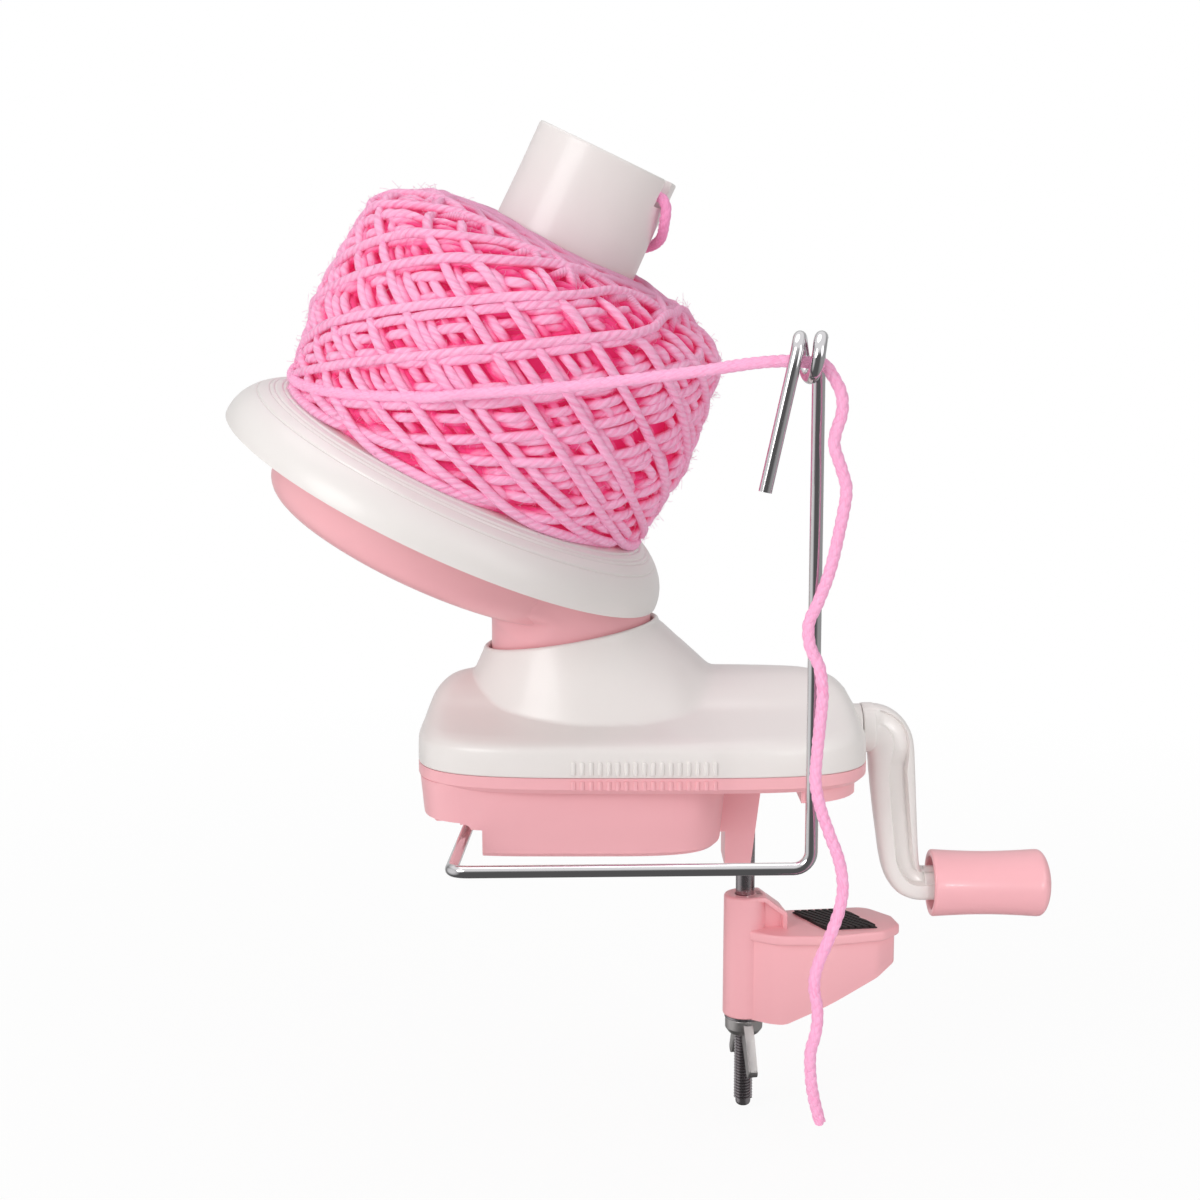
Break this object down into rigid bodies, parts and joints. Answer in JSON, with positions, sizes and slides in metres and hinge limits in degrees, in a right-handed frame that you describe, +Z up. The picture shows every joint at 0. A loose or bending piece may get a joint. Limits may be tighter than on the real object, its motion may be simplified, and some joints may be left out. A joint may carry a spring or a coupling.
{
  "type": "yarn ball winder",
  "caption": "Hand-cranked yarn ball winder: a leaning flanged spool geared to a turning turret, a swinging wire yarn guide, and a screw clamp for a table edge.",
  "frame": {"origin": "where the turret's upright axis meets the table top, on the tub's underside", "axes": "+X towards the crank, +Y away from the yarn guide, +Z up from the table"},
  "size_m": [0.2146, 0.1526, 0.2587],
  "materials": {
    "pink_plastic": "moulded, soft gloss",
    "white_plastic": "moulded, soft gloss",
    "bright_steel": "bright plated",
    "gear_plastic": "natural nylon",
    "pad_rubber": "ribbed, matte",
    "bush_bronze": "sintered",
    "wool_yarn": "plied wool, soft"
  },
  "bodies": {
    "base": {"lower_housing": "pink_plastic", "upper_cover": "white_plastic", "housing_screws": "bright_steel", "centre_post": "bright_steel", "post_washer": "gear_plastic", "sun_washer": "gear_plastic", "sun_gear": "gear_plastic", "sun_screw": "bright_steel", "shaft_bearing": "gear_plastic", "bearing_screws": "bright_steel", "shaft_bush": "bush_bronze", "clamp_rod": "bright_steel", "rod_nut": "bright_steel", "yarn_feed": "wool_yarn"},
    "turret": {"turret": "pink_plastic", "turret_pinion": "gear_plastic", "spool_axle": "bright_steel", "axle_washer": "bright_steel", "axle_screw": "bright_steel"},
    "spool": {"spool": "white_plastic", "spool_gear": "gear_plastic", "yarn_core": "wool_yarn", "yarn_winding": "wool_yarn", "yarn_tuck": "wool_yarn"},
    "crank": {"crank_shaft": "bright_steel", "crown_gear": "gear_plastic", "crank_arm": "white_plastic", "crank_screw": "bright_steel", "grip_screw": "bright_steel"},
    "grip": {"crank_grip": "pink_plastic", "grip_cap": "pink_plastic"},
    "guide": {"guide_wire": "bright_steel", "guide_clip": "bright_steel", "yarn_tail": "wool_yarn"},
    "clamp_washer": {"clamp_washer": "bright_steel"},
    "wing_nut": {"wing_nut": "bright_steel"},
    "clamp_jaw": {"clamp_jaw": "pink_plastic", "jaw_pad": "pad_rubber"}
  },
  "joints": [
    {"name": "turret_turn", "type": "hinge", "parent": "base", "child": "turret", "pos_m": [0, 0, 0.05], "axis": [0, 0, 1], "continuous": true, "deforming": ["yarn_feed"]},
    {"name": "spool_spin", "type": "hinge", "parent": "turret", "child": "spool", "pos_m": [0, 0, 0.15257], "axis": [0.4288, -0.0911, 0.8988], "continuous": true},
    {"name": "crank_turn", "type": "hinge", "parent": "base", "child": "crank", "pos_m": [0.08, 0, 0.026], "axis": [1, 0, 0], "continuous": true},
    {"name": "grip_spin", "type": "hinge", "parent": "crank", "child": "grip", "pos_m": [0.11, 0, -0.016], "axis": [1, 0, 0], "continuous": true},
    {"name": "guide_swing", "type": "hinge", "parent": "base", "child": "guide", "pos_m": [-0.026, -0.004, 0.012], "axis": [0, 0, 1], "range_deg": [-9.4, 0], "deforming": ["yarn_feed"]},
    {"name": "clamp_lift", "type": "slide", "parent": "base", "child": "clamp_washer", "axis": [0, 0, 1], "range_m": [-0.015, 0.007]},
    {"name": "nut_turn", "type": "hinge", "parent": "clamp_washer", "child": "wing_nut", "pos_m": [0.046, 0, -0.055], "axis": [0, 0, 1], "range_deg": [-6750, 3150]},
    {"name": "jaw_swivel", "type": "hinge", "parent": "clamp_washer", "child": "clamp_jaw", "pos_m": [0.046, 0, -0.04], "axis": [0, 0, 1], "range_deg": [-8, 172]}
  ],
  "couplings": [
    {"joint": "spool_spin", "follows": "turret_turn", "ratio": 0.32558},
    {"joint": "crank_turn", "follows": "turret_turn", "ratio": 0.46154},
    {"joint": "nut_turn", "follows": "clamp_lift", "rad_per_m": 7854}
  ]
}
